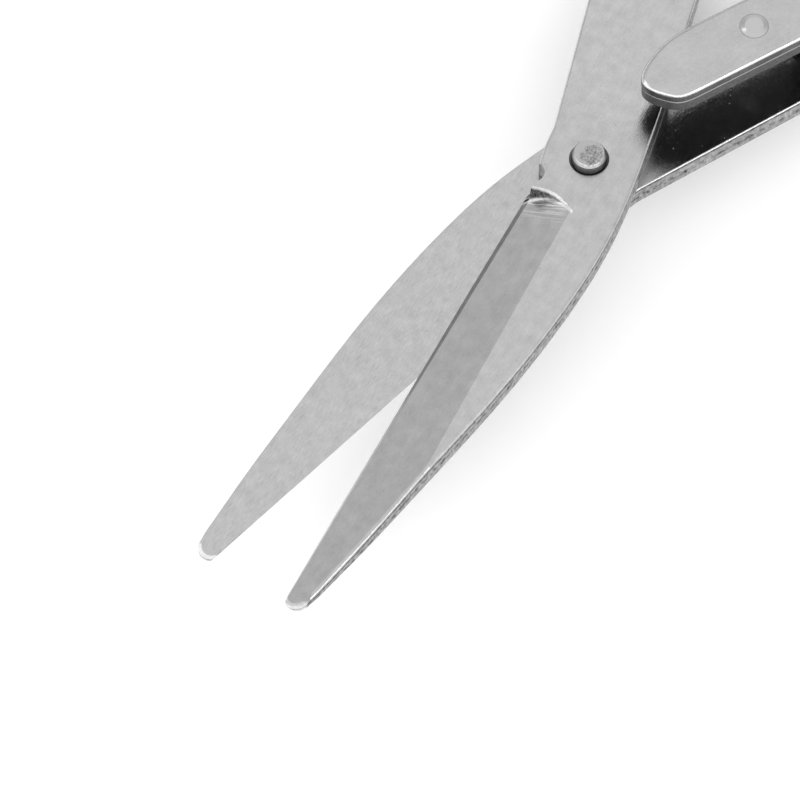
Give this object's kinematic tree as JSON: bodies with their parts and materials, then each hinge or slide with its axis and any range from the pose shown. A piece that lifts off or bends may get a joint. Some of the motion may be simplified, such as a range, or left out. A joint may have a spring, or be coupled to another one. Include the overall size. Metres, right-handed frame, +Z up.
{
  "type": "folding scissors",
  "caption": "Folding pocket scissors: two bevelled steel blades on a plain pivot pin, each with a flat finger bow that swings round a rivet to lie along the blades.",
  "frame": {"origin": "bottom centre of the whole object's box at rest, on the face it lies on", "axes": "+Y from the blade tips to the finger bows, +Z up through the upper blade, +X to the right bow"},
  "size_m": [0.0876, 0.1384, 0.0144],
  "materials": {
    "blade_steel": "fine satin brushed, with a ground bevel",
    "bow_steel": "polished satin sheet with a rolled bright edge",
    "liner_steel": "plain sheet steel",
    "rivet_steel": "polished rivet",
    "pin_steel": "turned pin, dulled and pitted top"
  },
  "bodies": {
    "lower_half": {"lower_blade": "blade_steel", "pivot_pin": "pin_steel"},
    "upper_half": {"upper_blade": "blade_steel"},
    "right_bow": {"right_bow_skin": "bow_steel", "right_bow_liner": "liner_steel", "right_bow_rivets": "rivet_steel", "right_fold_rivet": "rivet_steel", "right_fold_bush": "liner_steel", "right_fold_washer": "liner_steel"},
    "left_bow": {"left_bow_skin": "bow_steel", "left_bow_liner": "liner_steel", "left_bow_rivets": "rivet_steel", "left_fold_rivet": "rivet_steel", "left_fold_bush": "liner_steel", "left_fold_washer": "liner_steel"}
  },
  "joints": [
    {"name": "blade_pivot", "type": "hinge", "parent": "lower_half", "child": "upper_half", "pos_m": [0, -0.01966, 0.00501], "axis": [0, 0, 1], "range_deg": [-10.5, 45]},
    {"name": "right_fold", "type": "hinge", "parent": "lower_half", "child": "right_bow", "pos_m": [0.0079, 0.00232, 0.00501], "axis": [0, 0, -1], "range_deg": [0, 160]},
    {"name": "left_fold", "type": "hinge", "parent": "upper_half", "child": "left_bow", "pos_m": [-0.0079, 0.00232, 0.00501], "axis": [0, 0, 1], "range_deg": [0, 160]}
  ]
}
